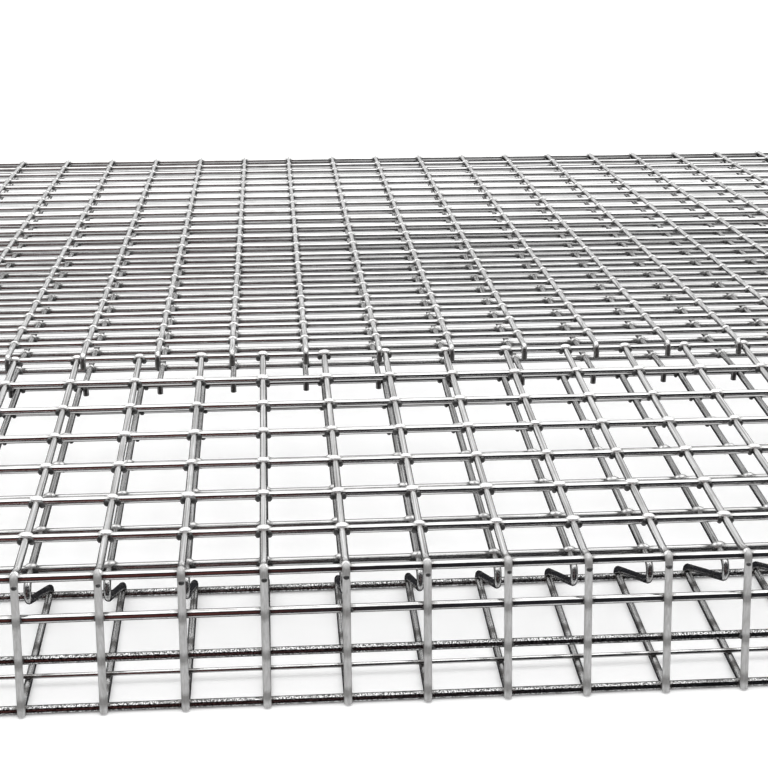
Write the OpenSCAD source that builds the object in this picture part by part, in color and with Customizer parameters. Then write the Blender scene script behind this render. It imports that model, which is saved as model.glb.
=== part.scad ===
// Welded wire mesh panel: a stepped front mesh bent down to the floor, a lower
// deck hooked to its floor return, and two long sheets hooked on behind them.
// Cross wires run along X. Long wires run along Y, away from the front.

/* [Panel] */
// Overall width of the panel, which is the length of every cross wire
panel_width = 1220; // [500:10:1220]
// Least length of cross wire left outside the outermost long wires
side_overhang = 10; // [5:1:20]
// Diameter of the cross wires
cross_wire = 5.5; // [4.5:0.1:6.5]
// Flats on a wire
wire_sides = 6; // [6:2:12]

/* [Front mesh] */
// Spacing of the long wires of both decks
deck_pitch_across = 50; // [40:1:75]
// Diameter of the long wires of both decks
deck_wire = 5; // [4:0.1:5.2]
// Spacing of the cross wires of both decks
deck_pitch_deep = 50; // [40:1:60]
// Cells from the front edge back to the last cross wire
deck_cells = 7; // [4:1:8]
// Height of the upper deck's cross wires above the floor, to their centres
deck_height = 85; // [80:1:110]
// How far a deck's long wires lie below its cross wires, centre to centre
deck_weld_drop = 0.6; // [0.4:0.1:1.5]
// Length of long wire left behind a deck's last cross wire
deck_tail = 3.5; // [3:0.1:5]

/* [Front face] */
// Forward lean of the face
face_lean = 12; // [4:1:18]
// Spacing of the upper three cross wires of the face
face_pitch = 26; // [22:1:28]
// Bend of the long wires over the front edge, to their centres
edge_bend = 3.6; // [3.4:0.1:4.2]
// Height of the front edge wire above the centre of that bend
edge_bend_drop = 1.6; // [1.2:0.1:2]
// Run in which the long wires rise from the deck over the front edge
edge_ramp = 12; // [10:0.5:16]

/* [Floor return] */
// Depth of the return, from the bottom edge wire to the end wire
return_depth = 136; // [110:1:150]
// Diameter of the thin wire across the return
thin_wire = 3; // [2:0.1:4]
// Distance of the thin wire behind the bottom edge wire
thin_setback = 31; // [20:1:45]

/* [Lower deck] */
// How far the lower deck lies below the upper one
layer_drop = 26; // [18:1:32]
// How far its cross wires lie behind those above
layer_setback = 6; // [0:0.5:10]
// Distance from the panel's front edge to the top of the legs
leg_setback = 44; // [38:1:48]
// Bend at the top of the legs, to the centre of the wire
leg_bend = 7; // [5:0.5:9]

/* [Rear sheets] */
// Spacing of the long wires of the rear sheets
rear_pitch_across = 60; // [55:1:75]
// Sideways shift of the rear long wires, which passes them by those of the deck
rear_shift = -5; // [-6:0.5:6]
// Diameter of the rear long wires
rear_wire = 4.6; // [4:0.1:4.8]
// Spacing of the cross wires of the rear sheets
rear_pitch_deep = 44; // [38:1:50]
// Distance from a rear sheet's hooks to its first cross wire
rear_first = 34; // [20:1:50]
// Cross wires in each third of a rear sheet
band_rows = 7; // [4:1:8]
// How far the rear long wires lie above their cross wires, centre to centre
rear_weld_rise = 1.8; // [1:0.1:3]
// Length of long wire left behind the last cross wire
rear_tail = 6; // [4:0.5:12]
// Clearance of a hook round the wire that it grips
hook_gap = 0.3; // [0.2:0.05:0.5]
// Straight end of a rear hook below its bend
hook_drop = 5; // [2:0.5:8]

/* [Hidden] */

// A wire is a prism whose edges lie on the round wire. A flat is the distance
// from its centre line to its faces.
cross_r = cross_wire / 2;
cross_flat = cross_r * cos(180 / wire_sides);
deck_r = deck_wire / 2;
rear_r = rear_wire / 2;
rear_flat = rear_r * cos(180 / wire_sides);
floor_clear = 0.2;
// Where a straight length runs into a bend, the bend is short by an angle and
// the straight length laps into it, so that the two fuse.
bend_short = 5;
bend_lap = 1.2;
arc_steps = 48;

// Places in the YZ plane are [y, z], measured from below the front edge wire.
deck_long_z = deck_height - deck_weld_drop;
deck_back = deck_cells * deck_pitch_deep;
down_face = [-sin(face_lean), -cos(face_lean)];
out_of_face = [-cos(face_lean), sin(face_lean)];
edge_top = [0, deck_height];
bend_centre = edge_top - [0, edge_bend_drop];
face_long = (deck_height - cross_flat) / cos(face_lean);
bottom_edge = edge_top + face_long * down_face;
ramp_foot = [edge_ramp, deck_long_z];
deck_joint = edge_ramp + cross_wire;
ramp_reach = norm(ramp_foot - bend_centre);
ramp_start = atan2(ramp_foot[1] - bend_centre[1], ramp_foot[0]) + acos(edge_bend / ramp_reach);
bend_end = 180 - face_lean;
face_wire_top = on_circle(bend_centre, edge_bend, bend_end);
face_wire_low = deck_r * sin(face_lean) + floor_clear;
face_wire_end = face_wire_top + (face_wire_top[1] - face_wire_low) / cos(face_lean) * down_face;

return_long_z = cross_flat + deck_weld_drop;
return_joint = bottom_edge[0] + cross_wire;
end_wire = bottom_edge + [return_depth, 0];
thin_place = [bottom_edge[0] + thin_setback, return_long_z + deck_r + thin_wire / 2 - deck_weld_drop];

lower_height = deck_height - layer_drop;
lower_long_z = lower_height - deck_weld_drop;
lower_back = deck_back + layer_setback;
lower_first = [deck_pitch_deep + layer_setback, lower_height];
lower_joint = lower_first[0] + cross_wire;
leg_top = [leg_setback, lower_long_z];
leg_centre = leg_top - [0, leg_bend];
leg_hook = cross_r + deck_r + hook_gap;
leg_span = end_wire - leg_centre;
leg_angle = atan2(leg_span[1], leg_span[0]) + asin((leg_bend + leg_hook) / norm(leg_span));
leg_side = [-sin(leg_angle), cos(leg_angle)];
leg_hook_end = 8;

rear_hook = cross_r + rear_r + hook_gap;
rear_rows = 3 * band_rows;
rear_run = rear_first + (rear_rows - 1) * rear_pitch_deep;
lower_far_z = cross_flat;
upper_far_z = lower_far_z + rear_weld_rise + rear_flat + hook_gap + cross_flat;
upper_slope = sheet_slope(deck_height, upper_far_z);
lower_slope = sheet_slope(lower_height, lower_far_z);

front_y = face_wire_end[0] - deck_r * cos(face_lean);
back_y = lower_back + (rear_run + rear_tail) * cos(lower_slope) + (rear_hook + rear_r) * sin(lower_slope);
centre_y = (front_y + back_y) / 2;

function on_circle(centre, radius, angle) = centre + radius * [cos(angle), sin(angle)];

// A point past the end of a straight length by the lap into a bend
function past(from, to) = to + bend_lap * (to - from) / norm(to - from);

// Slope at which a sheet hooked on a wire at height hook_z meets the floor at far_z
function sheet_slope(hook_z, far_z) =
    acos((far_z - hook_z) / norm([rear_hook - rear_weld_rise, rear_run]))
    - atan2(rear_run, rear_hook - rear_weld_rise);

// Distance along a rear sheet from its hooks to a row
function row_run(row) = rear_first + (row - 1) * rear_pitch_deep;

// Places across the panel of long wires at one pitch, centred and then shifted
function across(pitch, shift = 0) =
    let (cells = floor((panel_width - 2 * side_overhang) / pitch))
    [for (i = [0 : cells]) (i - cells / 2) * pitch + shift];

module cross_rod(place, diameter = cross_wire) {
    translate([-panel_width / 2, place[0], place[1]])
        rotate([0, 90, 0])
            rotate(180 / wire_sides)
                cylinder(d = diameter, h = panel_width, $fn = wire_sides);
}

module rod(from, to, diameter) {
    run = to - from;
    translate([0, from[0], from[1]])
        rotate([atan2(run[1], run[0]) - 90, 0, 0])
            cylinder(d = diameter, h = norm(run), $fn = wire_sides);
}

module bend(centre, radius, start, end, diameter) {
    translate([0, centre[0], centre[1]])
        rotate([90, 0, 90])
            rotate([0, 0, start])
                rotate_extrude(angle = end - start, $fn = arc_steps)
                    translate([radius, 0])
                        rotate(90)
                            circle(d = diameter, $fn = wire_sides);
}

module in_place() {
    translate([0, -centre_y, 0])
        children();
}

// A deck from the joint at first_y, with the cross wires from first_row on
module deck(height, first_y, first_row, setback) {
    back_end = deck_back + setback + deck_tail;
    for (row = [first_row : deck_cells])
        cross_rod([row * deck_pitch_deep + setback, height]);
    for (x = across(deck_pitch_across))
        translate([x, 0, 0])
            rod([first_y, height - deck_weld_drop], [back_end, height - deck_weld_drop], deck_wire);
}

module top_deck() {
    color("silver")
        in_place()
            deck(deck_height, deck_joint, 1, 0);
}

// One long wire of the face: up from the deck, over the edge wire and down
module face_wire() {
    rod([deck_joint, deck_long_z], ramp_foot, deck_wire);
    rod(ramp_foot, past(ramp_foot, on_circle(bend_centre, edge_bend, ramp_start)), deck_wire);
    bend(bend_centre, edge_bend, ramp_start + bend_short, bend_end - bend_short, deck_wire);
    rod(past(face_wire_end, face_wire_top), face_wire_end, deck_wire);
    rod([bottom_edge[0], return_long_z], [return_joint, return_long_z], deck_wire);
}

module front_face() {
    color("silver")
        in_place() {
            for (s = [0, face_pitch, 2 * face_pitch, face_long])
                cross_rod(edge_top + s * down_face);
            for (x = across(deck_pitch_across))
                translate([x, 0, 0])
                    face_wire();
        }
}

module floor_return() {
    color("gray")
        in_place() {
            cross_rod(end_wire);
            cross_rod(thin_place, thin_wire);
            for (x = across(deck_pitch_across))
                translate([x, 0, 0])
                    rod([return_joint, return_long_z], [end_wire[0], return_long_z], deck_wire);
        }
}

module lower_deck() {
    color("darkgray")
        in_place()
            deck(lower_height, lower_joint, 2, layer_setback);
}

// One leg: round the bend below the lower deck, back to the end wire and over it
module leg() {
    rod(leg_top - [bend_lap, 0], [lower_joint, lower_long_z], deck_wire);
    top = leg_centre - leg_bend * leg_side;
    foot = end_wire + leg_hook * leg_side;
    bend(leg_centre, leg_bend, 90 + bend_short, leg_angle + 270 - bend_short, deck_wire);
    rod(past(foot, top), past(top, foot), deck_wire);
    bend(end_wire, leg_hook, leg_hook_end, leg_angle + 90 - bend_short, deck_wire);
}

module lower_legs() {
    color("dimgray")
        in_place() {
            cross_rod(lower_first);
            for (x = across(deck_pitch_across))
                translate([x, 0, 0])
                    leg();
        }
}

// One band of a rear sheet. Rows count from the hooks, and a band reaches half
// a cell past its last row, so that its long wires meet the next band's.
module rear_band(hook_place, slope, first_row) {
    back = [cos(slope), -sin(slope)];
    up = [sin(slope), cos(slope)];
    wire_start = hook_place + rear_hook * up;
    near = first_row == 1;
    far = first_row + band_rows > rear_rows;
    from = near ? -bend_lap : row_run(first_row - 0.5);
    to = far ? rear_run + rear_tail : row_run(first_row + band_rows - 0.5);
    for (i = [first_row : first_row + band_rows - 1])
        cross_rod(wire_start + row_run(i) * back - rear_weld_rise * up);
    for (x = across(rear_pitch_across, rear_shift))
        translate([x, 0, 0]) {
            rod(wire_start + from * back, wire_start + to * back, rear_wire);
            if (near)
                hook(hook_place, slope);
        }
}

module hook(place, slope) {
    bend(place, rear_hook, 90 - slope + bend_short, 180 - bend_short, rear_wire);
    rod(place - [rear_hook, -bend_lap], place - [rear_hook, hook_drop], rear_wire);
}

module upper_band(first_row) {
    color("lightgray")
        in_place()
            rear_band([deck_back, deck_height], upper_slope, first_row);
}

module lower_band(first_row) {
    color("gray")
        in_place()
            rear_band([lower_back, lower_height], lower_slope, first_row);
}

module rear_sheet_near() { upper_band(1); }
module rear_sheet_middle() { upper_band(1 + band_rows); }
module rear_sheet_far() { upper_band(1 + 2 * band_rows); }
module lower_rear_sheet_near() { lower_band(1); }
module lower_rear_sheet_middle() { lower_band(1 + band_rows); }
module lower_rear_sheet_far() { lower_band(1 + 2 * band_rows); }

top_deck();
front_face();
floor_return();
lower_deck();
lower_legs();
rear_sheet_near();
rear_sheet_middle();
rear_sheet_far();
lower_rear_sheet_near();
lower_rear_sheet_middle();
lower_rear_sheet_far();
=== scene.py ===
import math
import random

import bmesh
import bpy
from mathutils import Matrix, Vector, noise


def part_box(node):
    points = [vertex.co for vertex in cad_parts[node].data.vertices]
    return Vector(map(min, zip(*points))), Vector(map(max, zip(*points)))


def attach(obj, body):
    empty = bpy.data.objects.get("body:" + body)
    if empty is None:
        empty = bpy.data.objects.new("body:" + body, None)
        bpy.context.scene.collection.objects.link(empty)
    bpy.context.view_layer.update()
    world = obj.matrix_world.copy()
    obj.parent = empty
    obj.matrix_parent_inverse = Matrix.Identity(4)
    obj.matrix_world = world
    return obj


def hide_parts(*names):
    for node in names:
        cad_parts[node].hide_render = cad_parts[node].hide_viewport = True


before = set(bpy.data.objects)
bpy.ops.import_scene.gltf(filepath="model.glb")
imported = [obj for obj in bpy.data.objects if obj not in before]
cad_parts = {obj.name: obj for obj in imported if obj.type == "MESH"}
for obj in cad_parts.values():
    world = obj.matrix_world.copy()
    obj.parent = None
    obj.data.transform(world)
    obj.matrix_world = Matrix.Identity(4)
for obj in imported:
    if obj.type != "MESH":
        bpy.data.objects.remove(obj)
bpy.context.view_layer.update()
print("frame loaded:", len(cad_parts), "nodes")

mm = 0.001
rng = random.Random(7)

# The sizes of the mesh, the same as in the CAD model
mesh = {
    "width": 1220 * mm,
    "overhang": 10 * mm,
    "crossWire": 5.5 * mm,
    "deckWire": 5.0 * mm,
    "rearWire": 4.6 * mm,
    "thinWire": 3.0 * mm,
    "deckAcross": 50 * mm,
    "deckDeep": 50 * mm,
    "deckFirst": 50 * mm,
    "deckRows": 7,
    "deckHeight": 85 * mm,
    "weldDrop": 0.6 * mm,
    "deckTail": 3.5 * mm,
    "lean": math.radians(12),
    "facePitch": 26 * mm,
    "edgeBend": 3.6 * mm,
    "edgeDrop": 1.6 * mm,
    "edgeRamp": 12 * mm,
    "returnDepth": 136 * mm,
    "thinSetback": 31 * mm,
    "layerDrop": 26 * mm,
    "layerSetback": 6 * mm,
    "legSetback": 44 * mm,
    "legBend": 7 * mm,
    "rearAcross": 60 * mm,
    "rearShift": -5 * mm,
    "rearDeep": 44 * mm,
    "rearFirst": 34 * mm,
    "rearRows": 21,
    "rearRise": 1.8 * mm,
    "rearTail": 6 * mm,
    "hookGap": 0.3 * mm,
    "hookDrop": 5 * mm,
}

crossRadius = mesh["crossWire"] / 2
deckRadius = mesh["deckWire"] / 2
rearRadius = mesh["rearWire"] / 2
floorFlat = crossRadius * math.cos(math.pi / 6)
faceReach = (mesh["deckHeight"] - floorFlat) / math.cos(mesh["lean"])
downFace = Vector((0, -math.sin(mesh["lean"]), -math.cos(mesh["lean"])))


def at(y, z):
    return Vector((0, y, z))


def onArc(centre, radius, degrees):
    angle = math.radians(degrees)
    return centre + at(radius * math.cos(angle), radius * math.sin(angle))


def arcPoints(centre, radius, start, end, steps):
    return [onArc(centre, radius, start + (end - start) * i / steps) for i in range(steps + 1)]


def across(pitch, shift=0.0):
    cells = int((mesh["width"] - 2 * mesh["overhang"]) / pitch + 1e-6)
    return [(i - cells / 2) * pitch + shift for i in range(cells + 1)]


# Places in the front mesh, measured from under its front edge wire
edgeWire = at(0, mesh["deckHeight"])
bottomEdge = edgeWire + faceReach * downFace
deckLongZ = mesh["deckHeight"] - mesh["weldDrop"]
bendCentre = edgeWire - at(0, mesh["edgeDrop"])
rampFoot = at(mesh["edgeRamp"], deckLongZ)
rampSpan = rampFoot - bendCentre
rampStart = math.degrees(math.atan2(rampSpan.z, rampSpan.y) + math.acos(mesh["edgeBend"] / rampSpan.length))
faceWireTop = onArc(bendCentre, mesh["edgeBend"], 168)
faceWireLow = deckRadius * math.sin(mesh["lean"]) + 0.2 * mm
faceWireFoot = faceWireTop + (faceWireTop.z - faceWireLow) / math.cos(mesh["lean"]) * downFace
returnZ = floorFlat + mesh["weldDrop"]
endWire = bottomEdge + at(mesh["returnDepth"], 0)
thinPlace = at(bottomEdge.y + mesh["thinSetback"], returnZ + deckRadius + mesh["thinWire"] / 2 - mesh["weldDrop"])
deckBack = mesh["deckFirst"] + (mesh["deckRows"] - 1) * mesh["deckDeep"]

# Places in the lower mesh
lowerHeight = mesh["deckHeight"] - mesh["layerDrop"]
lowerLongZ = lowerHeight - mesh["weldDrop"]
lowerBack = deckBack + mesh["layerSetback"]
legCentre = at(mesh["legSetback"], lowerLongZ - mesh["legBend"])
legHook = crossRadius + deckRadius + mesh["hookGap"]
legSpan = endWire - legCentre
legAngle = math.degrees(math.atan2(legSpan.z, legSpan.y) + math.asin((mesh["legBend"] + legHook) / legSpan.length))

# Places in the rear sheets
rearHook = crossRadius + rearRadius + mesh["hookGap"]
rearRun = mesh["rearFirst"] + (mesh["rearRows"] - 1) * mesh["rearDeep"]
upperFarZ = floorFlat + mesh["rearRise"] + rearRadius * math.cos(math.pi / 6) + mesh["hookGap"] + floorFlat


def sheetSlope(hookZ, farZ):
    drop = rearHook - mesh["rearRise"]
    return math.acos((farZ - hookZ) / math.hypot(drop, rearRun)) - math.atan2(rearRun, drop)


lowerSlope = sheetSlope(lowerHeight, floorFlat)
upperSlope = sheetSlope(mesh["deckHeight"], upperFarZ)

# The frame is centred, so the front edge wire's place comes from the front face's box
faceLow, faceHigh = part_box("front_face")
shiftY = faceLow.y - (faceWireFoot.y - deckRadius * math.cos(mesh["lean"]))
print("front edge wire at", round(shiftY, 4))

# Straight wire is never quite straight: how far it bows and wanders
wireLook = {"sides": 12, "bow": 0.45 * mm, "crossStep": 44 * mm, "longStep": 26 * mm}


# The metals go on before the wires, because a spline can only point at a slot that is there
def newWires(name, materials):
    curve = bpy.data.curves.new(name, "CURVE")
    for material in materials:
        curve.materials.append(material)
    curve.dimensions = "3D"
    curve.bevel_mode = "ROUND"
    curve.bevel_depth = 1.0
    curve.bevel_resolution = (wireLook["sides"] - 4) // 2
    curve.use_fill_caps = True
    return bpy.data.objects.new(name, curve)


def addWire(wires, points, radius, slot):
    spline = wires.data.splines.new("POLY")
    spline.points.add(len(points) - 1)
    for point, place in zip(spline.points, points):
        point.co = (place.x, place.y + shiftY, place.z, 1)
        point.radius = radius
    spline.material_index = slot
    spline.use_smooth = True


def addCross(wires, place, radius, slot, seed, lift=1.0):
    half = mesh["width"] / 2 - 0.3 * mm
    place = at(place.y, max(place.z, radius))
    count = round(2 * half / wireLook["crossStep"])
    points = []
    for i in range(count + 1):
        x = half * (2 * i / count - 1)
        drift = noise.noise_vector(Vector((x * 3.5, seed * 3.17, 0))) * wireLook["bow"]
        points.append(place + Vector((x, drift.y, drift.z * 0.5 * lift)))
    addWire(wires, points, radius, slot)


def addLong(wires, x, path, radius, slot, seed):
    points = []
    for i, place in enumerate(path):
        stops = [place]
        if i + 1 < len(path):
            run = path[i + 1] - place
            cuts = max(1, round(run.length / wireLook["longStep"]))
            stops = [place + run * k / cuts for k in range(cuts)]
        for stop in stops:
            drift = noise.noise(Vector((stop.y * 4, stop.z * 4, seed * 2.71))) * wireLook["bow"]
            points.append(stop + Vector((x + drift, 0, 0)))
    addWire(wires, points, radius, slot)


# A weld is a bead with few faces, squashed to its place, size and turn. They are made a row at a time, which is quicker
def addBeads(piece, beads):
    whole = bmesh.new()
    whole.from_mesh(piece.data)
    for first in range(0, len(beads), 25):
        bm = bmesh.new()
        for place, size, tilt, slot in beads[first:first + 25]:
            grow = rng.uniform(0.88, 1.12)
            turn = Matrix.Rotation(tilt + rng.uniform(-0.12, 0.12), 4, "X") @ Matrix.Rotation(rng.uniform(-0.3, 0.3), 4, "Z")
            spot = Matrix.Translation((place.x, place.y + shiftY, place.z))
            made = bmesh.ops.create_uvsphere(
                bm, u_segments=8, v_segments=5, radius=1.0,
                matrix=spot @ turn @ Matrix.Diagonal((size[0] * grow, size[1] * grow, size[2], 1)))
            for face in {f for v in made["verts"] for f in v.link_faces}:
                face.material_index = slot
                face.smooth = True
        row = bpy.data.meshes.new("beadRow")
        bm.to_mesh(row)
        bm.free()
        whole.from_mesh(row)
        bpy.data.meshes.remove(row)
    whole.to_mesh(piece.data)
    whole.free()


def finishWires(wires, beads, nodes):
    bpy.context.scene.collection.objects.link(wires)
    bpy.ops.object.select_all(action="DESELECT")
    wires.select_set(True)
    bpy.context.view_layer.objects.active = wires
    bpy.ops.object.convert(target="MESH")
    piece = bpy.context.view_layer.objects.active
    addBeads(piece, beads)
    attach(piece, "root")
    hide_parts(*nodes)
    piece.data.calc_loop_triangles()
    print(piece.name, len(piece.data.loop_triangles), "triangles")
    return piece


# Materials. A socket wrapped so that sums on it add their Math nodes
class Sock:
    def __init__(self, tree, socket):
        self.tree = tree
        self.socket = socket

    def math(self, operation, a, b=None, clamp=False):
        node = self.tree.nodes.new("ShaderNodeMath")
        node.operation = operation
        node.use_clamp = clamp
        for slot, value in zip(node.inputs, (a, b)):
            if isinstance(value, Sock):
                self.tree.links.new(value.socket, slot)
            elif value is not None:
                slot.default_value = value
        return Sock(self.tree, node.outputs[0])

    def __add__(self, other): return self.math("ADD", self, other)
    def __radd__(self, other): return self.math("ADD", other, self)
    def __sub__(self, other): return self.math("SUBTRACT", self, other)
    def __rsub__(self, other): return self.math("SUBTRACT", other, self)
    def __mul__(self, other): return self.math("MULTIPLY", self, other)
    def __rmul__(self, other): return self.math("MULTIPLY", other, self)
    def clamp(self): return self.math("ADD", self, 0.0, clamp=True)
    def above(self, low, high): return ((self - low) * (1 / (high - low))).clamp()


class Shader:
    def __init__(self, owner):
        owner.use_nodes = True
        self.owner = owner
        self.tree = owner.node_tree
        self.bsdf = self.tree.nodes.get("Principled BSDF")

    def node(self, kind, settings=None, inputs=None, out=0, **values):
        node = self.tree.nodes.new(kind)
        for key, value in (settings or {}).items():
            setattr(node, key, value)
        for key, value in (inputs or {}).items():
            self.put(node.inputs[key], value)
        for key, value in values.items():
            self.put(node.inputs[key.replace("_", " ")], value)
        return Sock(self.tree, node.outputs[out])

    def put(self, socket, value):
        if isinstance(value, Sock):
            self.tree.links.new(value.socket, socket)
        else:
            socket.default_value = value

    def place(self):
        return self.node("ShaderNodeTexCoord", out="Object")

    def scaled(self, vector, scale):
        return self.node("ShaderNodeMapping", Vector=vector, Scale=scale)

    def noise(self, vector, scale, detail=2.0, roughness=0.5):
        return self.node("ShaderNodeTexNoise", Vector=vector, Scale=scale, Detail=detail, Roughness=roughness)

    def mix(self, factor, a, b):
        return self.node("ShaderNodeMix", {"data_type": "RGBA"}, {0: factor, 6: a, 7: b}, out=2)


def newShader(name):
    return Shader(bpy.data.materials.new(name))


def grey(value, warm=0.0):
    return (value * (1 + warm), value, value * (1 - warm), 1)


# Drawn zinc-bright wire. The die leaves fine lines along the wire, the welds leave it burnt at every pitch along its axis
def wireMetal(name, look, welds):
    s = newShader(name)
    place = s.place()
    lines = s.noise(s.scaled(place, look["linesScale"]), 1.0, 3.0, 0.6)
    slow = s.noise(place, 38.0, 2.0, 0.5)
    grain = s.noise(place, 900.0, 2.0, 0.6)
    streak = lines.above(look.get("from", 0.3), look.get("to", 0.7))
    colour = s.mix(streak, grey(look["low"], 0.01), grey(look["high"], 0.0))
    colour = s.mix((slow.above(0.5, 0.75) * look["dulled"]).clamp(), colour, grey(look["dull"], 0.02))
    rough = look["rough"] + slow * look["uneven"] + streak * 0.03 - 0.5 * look["uneven"]
    if welds:
        axis, pitch, first = welds
        steps = (s.node("ShaderNodeSeparateXYZ", Vector=place, out=axis) - first) * (1 / pitch)
        away = steps.math("ABSOLUTE", steps - steps.math("ROUND", steps)) * pitch
        near = 1 - away * (1 / look["burnReach"])
        burnt = ((near + (grain - 0.5) * 0.6).above(0.1, 0.7) * look["burn"]).clamp()
        colour = s.mix(burnt, colour, grey(look["burnt"], 0.05))
        rough = rough + burnt * 0.2
    s.put(s.bsdf.inputs["Base Color"], colour)
    s.put(s.bsdf.inputs["Metallic"], look["metal"])
    s.put(s.bsdf.inputs["Roughness"], rough.clamp())
    bump = s.node("ShaderNodeBump", Height=lines * 0.7 + grain * 0.3, Strength=look["bump"], Distance=0.0004)
    s.put(s.bsdf.inputs["Normal"], bump)
    return s.owner


crossLook = {"linesScale": (14, 700, 700), "low": 0.46, "high": 0.76, "dull": 0.36, "dulled": 0.5,
             "burn": 0.8, "burnt": 0.1, "burnReach": 7 * mm, "rough": 0.1, "uneven": 0.06, "bump": 0.2, "metal": 1.0}
longLook = dict(crossLook, linesScale=(900, 9, 900), low=0.26, high=0.95, rough=0.15, uneven=0.1, bump=0.6)
faceLook = dict(longLook, linesScale=(700, 700, 12), low=0.4, high=0.6, dull=0.36, burn=0.6, burnReach=5 * mm,
                rough=0.4, metal=0.15)
beadLook = dict(crossLook, linesScale=(260, 260, 260), low=0.75, high=0.95, dull=0.6, rough=0.26, uneven=0.1, bump=0.5, metal=0.7)
# Near-black metal for the small beads beside and under the welds: painted shade in the creases, with some weld scale
scaleAndShadeLook = dict(beadLook, linesScale=(320, 320, 320), low=0.03, high=0.16, dull=0.06, rough=0.35, metal=0.7)
# The face's lower wires and the end wire on the floor: a near-black body with bright flecks, painted shade and painted
# glints of reflection near the floor
paintedFloorShadeLook = dict(crossLook, linesScale=(1100, 800, 800), low=0.04, high=0.65, dull=0.08, dulled=0.6, rough=0.14, bump=0.45)
paintedFloorShadeLook["from"], paintedFloorShadeLook["to"] = 0.4, 0.62
looks = {"crossWire": crossLook, "longWire": longLook, "faceWire": faceLook, "weldBead": beadLook,
         "weldScar": scaleAndShadeLook, "mottledWire": paintedFloorShadeLook}
shades = ("low", "high", "dull", "burnt")


# A mesh's own set of metals, with its welds where its wires cross, and darker copies of the same metals in the layer
# underneath: painted shade
def metals(tag, paintedShadeTone, welds):
    made = []
    for name, look in looks.items():
        shadedLook = {key: value * paintedShadeTone if key in shades else value for key, value in look.items()}
        made.append(wireMetal(tag + name[0].upper() + name[1:], shadedLook, welds.get(name)))
    return made


crossSlot, longSlot, faceSlot, beadSlot, scaleAndShadeSlot, paintedShadeSlot = range(6)
deckAt = across(mesh["deckAcross"])
rearAt = across(mesh["rearAcross"], mesh["rearShift"])


# A deck's weld: a bright cap over the crossing, a tongue of the long wire in front and a near-black bead in the crease
# on each side, painted shade with some weld scale
weldLook = {"capSize": (5.3 * mm, 3.4 * mm, 2.8 * mm), "capPlace": at(0.8 * mm, 1.3 * mm),
            "tongueSize": (2.5 * mm, 2.7 * mm, 2.6 * mm), "tonguePlace": at(-1.5 * mm, -0.4 * mm),
            "creaseSize": (2.2 * mm, 2.2 * mm, 2.8 * mm), "creasePlace": at(-1.6 * mm, -1.0 * mm), "creaseAside": 3.7 * mm,
            "knotSize": (2.9 * mm, 3.0 * mm, 2.1 * mm), "knotPlace": at(-0.6 * mm, 2.1 * mm),
            "spotSize": (2.1 * mm, 2.2 * mm, 1.9 * mm), "spotPlace": at(-5.1 * mm, -3.6 * mm), "scaleAndShadeSize": (4.2 * mm, 2.6 * mm, 2.6 * mm)}


def deckWeld(beads, spot):
    beads.append((spot + weldLook["capPlace"], weldLook["capSize"], 0.0, beadSlot))
    beads.append((spot + weldLook["tonguePlace"], weldLook["tongueSize"], 0.0, longSlot))
    for side in (-1, 1):
        aside = Vector((side * weldLook["creaseAside"], 0, 0))
        beads.append((spot + weldLook["creasePlace"] + aside, weldLook["creaseSize"], 0.0, scaleAndShadeSlot))


# Front mesh: deck, bent face and the return on the floor
welds = {"crossWire": (0, mesh["deckAcross"], deckAt[0]), "longWire": (1, mesh["deckDeep"], shiftY + mesh["deckFirst"]),
         "mottledWire": (0, mesh["deckAcross"], deckAt[0]),
         "faceWire": (2, mesh["facePitch"] * math.cos(mesh["lean"]), mesh["deckHeight"])}
wires = newWires("frontMesh", metals("front", 1.0, welds))
beads = []
deckPath = [faceWireFoot] + arcPoints(bendCentre, mesh["edgeBend"], 168, rampStart, 7) + [rampFoot, at(deckBack + mesh["deckTail"] - 0.3 * mm, deckLongZ)]
for n, x in enumerate(deckAt):
    addLong(wires, x, deckPath[:9], deckRadius, faceSlot, n)
    addLong(wires, x, deckPath[8:], deckRadius, longSlot, n)
    addLong(wires, x, [at(bottomEdge.y, returnZ), at(endWire.y, returnZ)], deckRadius, longSlot, n + 50)
for row in range(mesh["deckRows"] + 1):
    place = at(mesh["deckFirst"] + (row - 1) * mesh["deckDeep"] if row else 0, mesh["deckHeight"])
    addCross(wires, place, crossRadius, crossSlot, row)
    for x in deckAt:
        spot = place + Vector((x, 0, 0))
        if row:
            deckWeld(beads, spot)
        else:
            beads.append((spot + weldLook["knotPlace"], weldLook["knotSize"], 0.5, beadSlot))
            # Under each weld knot on the front edge wire, a near-black bead: painted shade with some weld scale
            beads.append((spot + weldLook["spotPlace"], weldLook["spotSize"], 0.0, scaleAndShadeSlot))
for i, s in enumerate((mesh["facePitch"], 2 * mesh["facePitch"], faceReach)):
    place = edgeWire + s * downFace
    # The two lower face wires get the near-black look with painted shade and painted glints; the edge wire does not
    addCross(wires, place, crossRadius, paintedShadeSlot if i else crossSlot, 20 + i, 0.0 if i == 2 else 1.0)
    # On the face's lower wires, a near-black bead in front of each crossing: painted shade with some weld scale
    for x in deckAt if i < 2 else ():
        beads.append((place + Vector((x, -1.6 * mm, 0)), weldLook["scaleAndShadeSize"], 0.0, scaleAndShadeSlot))
# The end wire on the floor: near-black with bright flecks, painted shade and painted glints
addCross(wires, endWire, crossRadius, paintedShadeSlot, 30, 0.0)
addCross(wires, thinPlace, mesh["thinWire"] / 2, crossSlot, 31)
frontMesh = finishWires(wires, beads, ["top_deck", "front_face", "floor_return"])

# Lower mesh: the same deck one layer down, its wires bent back and hooked over the end wire
welds["longWire"] = (1, mesh["deckDeep"], shiftY + mesh["deckFirst"] + mesh["layerSetback"])
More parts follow.
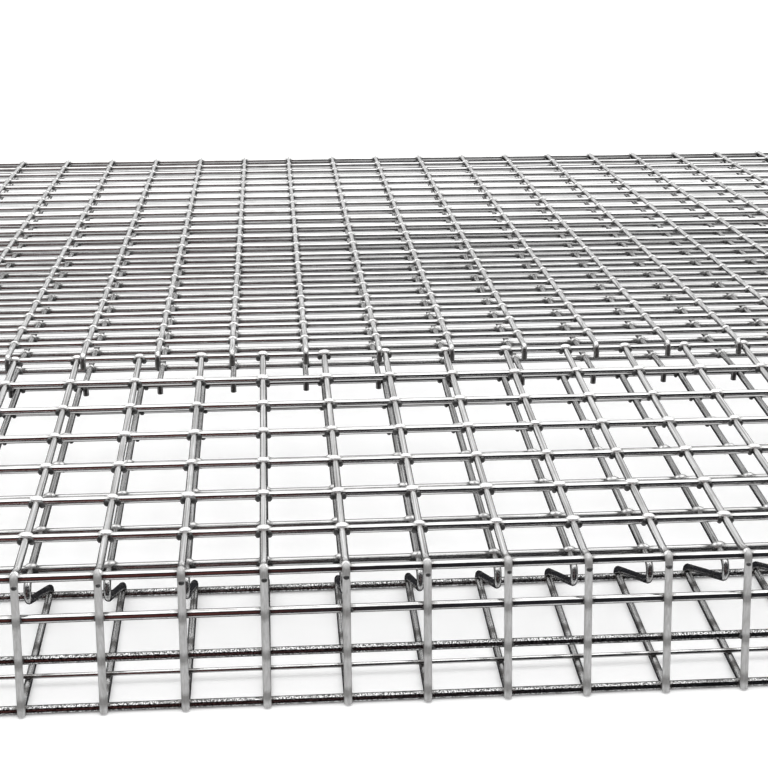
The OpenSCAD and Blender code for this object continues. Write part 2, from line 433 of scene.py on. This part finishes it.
# The lower mesh's metals are the front mesh's darkened to 0.7: painted shade for the layer underneath
wires = newWires("lowerMesh", metals("lower", 0.7, welds))
beads = []
legSide = onArc(at(0, 0), 1.0, legAngle + 90)
legTop = legCentre - mesh["legBend"] * legSide
legFoot = endWire + legHook * legSide
legPath = [at(lowerBack + mesh["deckTail"] - 0.3 * mm, lowerLongZ)] + arcPoints(legCentre, mesh["legBend"], 90, legAngle + 270, 8)
legPath += arcPoints(endWire, legHook, legAngle + 90, 8, 8)
for n, x in enumerate(deckAt):
    addLong(wires, x, legPath, deckRadius, longSlot, n + 100)
for row in range(mesh["deckRows"]):
    place = at(mesh["deckFirst"] + row * mesh["deckDeep"] + mesh["layerSetback"], lowerHeight)
    addCross(wires, place, crossRadius, crossSlot, 40 + row)
    for x in deckAt:
        deckWeld(beads, place + Vector((x, 0, 0)))
lowerMesh = finishWires(wires, beads, ["lower_deck", "lower_legs"])

# Rear sheets: hooked over the decks' last wires and lying down to the floor
# Each rear weld: a bright saddle, and a near-black curl on each side of it, painted shade with some weld scale
rearLook = {"curlSize": (2.0 * mm, 2.7 * mm, 2.2 * mm), "curlPlace": -2.0 * mm, "curlAside": 2.6 * mm,
            "saddleSize": (3.9 * mm, 2.9 * mm, 2.5 * mm), "saddleRise": 2.0 * mm}


def rearSheet(name, hookPlace, slope, paintedShadeTone, seed, nodes):
    back = Vector((0, math.cos(slope), -math.sin(slope)))
    up = Vector((0, math.sin(slope), math.cos(slope)))
    hookPlace = hookPlace - at(0, 0.3 * mm)
    start = hookPlace + rearHook * up
    end = start + (rearRun + mesh["rearTail"] - 0.4 * mm) * back
    first = shiftY + (start + mesh["rearFirst"] * back).y
    welds = {"crossWire": (0, mesh["rearAcross"], rearAt[0]), "longWire": (1, mesh["rearDeep"] * math.cos(slope), first)}
    wires = newWires(name, metals(name, paintedShadeTone, welds))
    beads = []
    path = [hookPlace + at(-rearHook, -mesh["hookDrop"])]
    path += arcPoints(hookPlace, rearHook, 180, 90 - math.degrees(slope), 8) + [end]
    for n, x in enumerate(rearAt):
        addLong(wires, x, path, rearRadius, longSlot, seed + n)
    for row in range(mesh["rearRows"]):
        place = start + (mesh["rearFirst"] + row * mesh["rearDeep"]) * back - mesh["rearRise"] * up
        addCross(wires, place, crossRadius, crossSlot, seed + 50 + row, 0.0 if row == mesh["rearRows"] - 1 else 1.0)
        for x in rearAt:
            spot = place + Vector((x, 0, 0))
            beads.append((spot + rearLook["saddleRise"] * up, rearLook["saddleSize"], -slope, beadSlot))
            for side in (-1, 1):
                curl = spot + rearLook["curlPlace"] * back + Vector((side * rearLook["curlAside"], 0, 0))
                beads.append((curl, rearLook["curlSize"], -slope, scaleAndShadeSlot))
    return finishWires(wires, beads, nodes)


upperRear = rearSheet("upperRearSheet", at(deckBack, mesh["deckHeight"]), upperSlope, 1.0, 200,
                      ["rear_sheet_near", "rear_sheet_middle", "rear_sheet_far"])
# The lower rear sheet's metals are darkened to 0.85: painted shade for the layer underneath
lowerRear = rearSheet("lowerRearSheet", at(lowerBack, lowerHeight), lowerSlope, 0.85, 300,
                      ["lower_rear_sheet_near", "lower_rear_sheet_middle", "lower_rear_sheet_far"])
print("wires made")

# Camera, at the photograph's place
view = {"focal": 1546.35, "pixels": 768, "pitch": 22.991, "yaw": 4.356, "roll": 0.311,
        "place": Vector((-90.18 * mm, -826.36 * mm + shiftY, 558.16 * mm))}

pitch, yaw, roll = (math.radians(view[key]) for key in ("pitch", "yaw", "roll"))
forward = Vector((math.sin(yaw) * math.cos(pitch), math.cos(yaw) * math.cos(pitch), -math.sin(pitch)))
right = Vector((math.cos(yaw), -math.sin(yaw), 0))
above = right.cross(forward)
side = right * math.cos(roll) + above * math.sin(roll)
top = above * math.cos(roll) - right * math.sin(roll)
cameraData = bpy.data.cameras.new("camera")
cameraData.sensor_width = 36
cameraData.lens = 36 * view["focal"] / view["pixels"]
cameraData.clip_start = 0.02
camera = bpy.data.objects.new("camera", cameraData)
turned = Matrix((side, top, -forward)).transposed().to_4x4()
camera.matrix_world = Matrix.Translation(view["place"]) @ turned
bpy.context.scene.collection.objects.link(camera)
bpy.context.scene.camera = camera

# Studio: pale floor, an overhead soft light, and dark cards far off, low in front and behind, that only reflections see
studio = {"floor": 0.86, "glow": 0.2, "overhead": 1.5, "world": 0.75, "cardFar": 20.0,
          "front": (-75, 75, -50, 70), "back": (-75, 75, -80, -2), "warmPart": (-22, 0, -18, 34),
          "dark": (0.028, 0.028, 0.032, 1), "warm": (0.13, 0.045, 0.04, 1)}


def plane(name, low, high, height):
    bm = bmesh.new()
    bmesh.ops.create_grid(bm, x_segments=1, y_segments=1, size=0.5)
    bmesh.ops.scale(bm, vec=(high[0] - low[0], high[1] - low[1], 1), verts=bm.verts)
    bmesh.ops.translate(bm, vec=((low[0] + high[0]) / 2, (low[1] + high[1]) / 2, height), verts=bm.verts)
    data = bpy.data.meshes.new(name)
    bm.to_mesh(data)
    bm.free()
    obj = bpy.data.objects.new(name, data)
    bpy.context.scene.collection.objects.link(obj)
    return obj


floor = plane("floor", (-14, -14), (14, 14), 0)
paper = newShader("floorPaper")
seen = paper.node("ShaderNodeLightPath", out="Is Camera Ray")
paper.bsdf.inputs["Roughness"].default_value = 0.9
paper.bsdf.inputs["Specular IOR Level"].default_value = 0.0
paper.put(paper.bsdf.inputs["Base Color"], grey(studio["floor"]))
paper.bsdf.inputs["Emission Color"].default_value = (1, 1, 1, 1)
paper.put(paper.bsdf.inputs["Emission Strength"], seen * studio["glow"])
floor.data.materials.append(paper.owner)
floor.visible_glossy = False


# A card stands so far off that every wire sees it at the same angles, and only in its reflections
def card(name, side, far, corners, colour):
    left, right, low, high = (math.tan(math.radians(angle)) * far for angle in corners)
    bm = bmesh.new()
    bm.faces.new([bm.verts.new((x, side * far, z)) for x, z in ((left, low), (right, low), (right, high), (left, high))])
    data = bpy.data.meshes.new(name)
    bm.to_mesh(data)
    bm.free()
    obj = bpy.data.objects.new(name, data)
    bpy.context.scene.collection.objects.link(obj)
    shader = newShader(name)
    shader.bsdf.inputs["Base Color"].default_value = (0, 0, 0, 1)
    shader.bsdf.inputs["Specular IOR Level"].default_value = 0.0
    shader.bsdf.inputs["Emission Color"].default_value = colour
    shader.bsdf.inputs["Emission Strength"].default_value = 1.0
    data.materials.append(shader.owner)
    obj.visible_camera = obj.visible_diffuse = obj.visible_transmission = False
    obj.visible_shadow = obj.visible_volume_scatter = False


card("darkFront", -1, studio["cardFar"], studio["front"], studio["dark"])
card("darkBack", 1, studio["cardFar"], studio["back"], studio["dark"])
card("warmFront", -1, studio["cardFar"] - 1, studio["warmPart"], studio["warm"])

overhead = bpy.data.lights.new("overhead", "AREA")
overhead.shape = "RECTANGLE"
overhead.size = 5.0
overhead.size_y = 4.0
overhead.energy = studio["overhead"] * math.pi * 20
lamp = bpy.data.objects.new("overhead", overhead)
lamp.location = (0, shiftY + 0.6, 2.6)
bpy.context.scene.collection.objects.link(lamp)

sky = Shader(bpy.data.worlds.new("studio"))
bpy.context.scene.world = sky.owner
shown = sky.node("ShaderNodeLightPath", out="Is Camera Ray")
for ray in ("Is Glossy Ray", "Is Transmission Ray"):
    shown = shown + sky.node("ShaderNodeLightPath", out=ray)
background = sky.tree.nodes["Background"]
background.inputs["Color"].default_value = (1, 1, 1, 1)
sky.put(background.inputs["Strength"], shown.clamp() * (1 - studio["world"]) + studio["world"])

bpy.context.scene.view_settings.view_transform = "Standard"
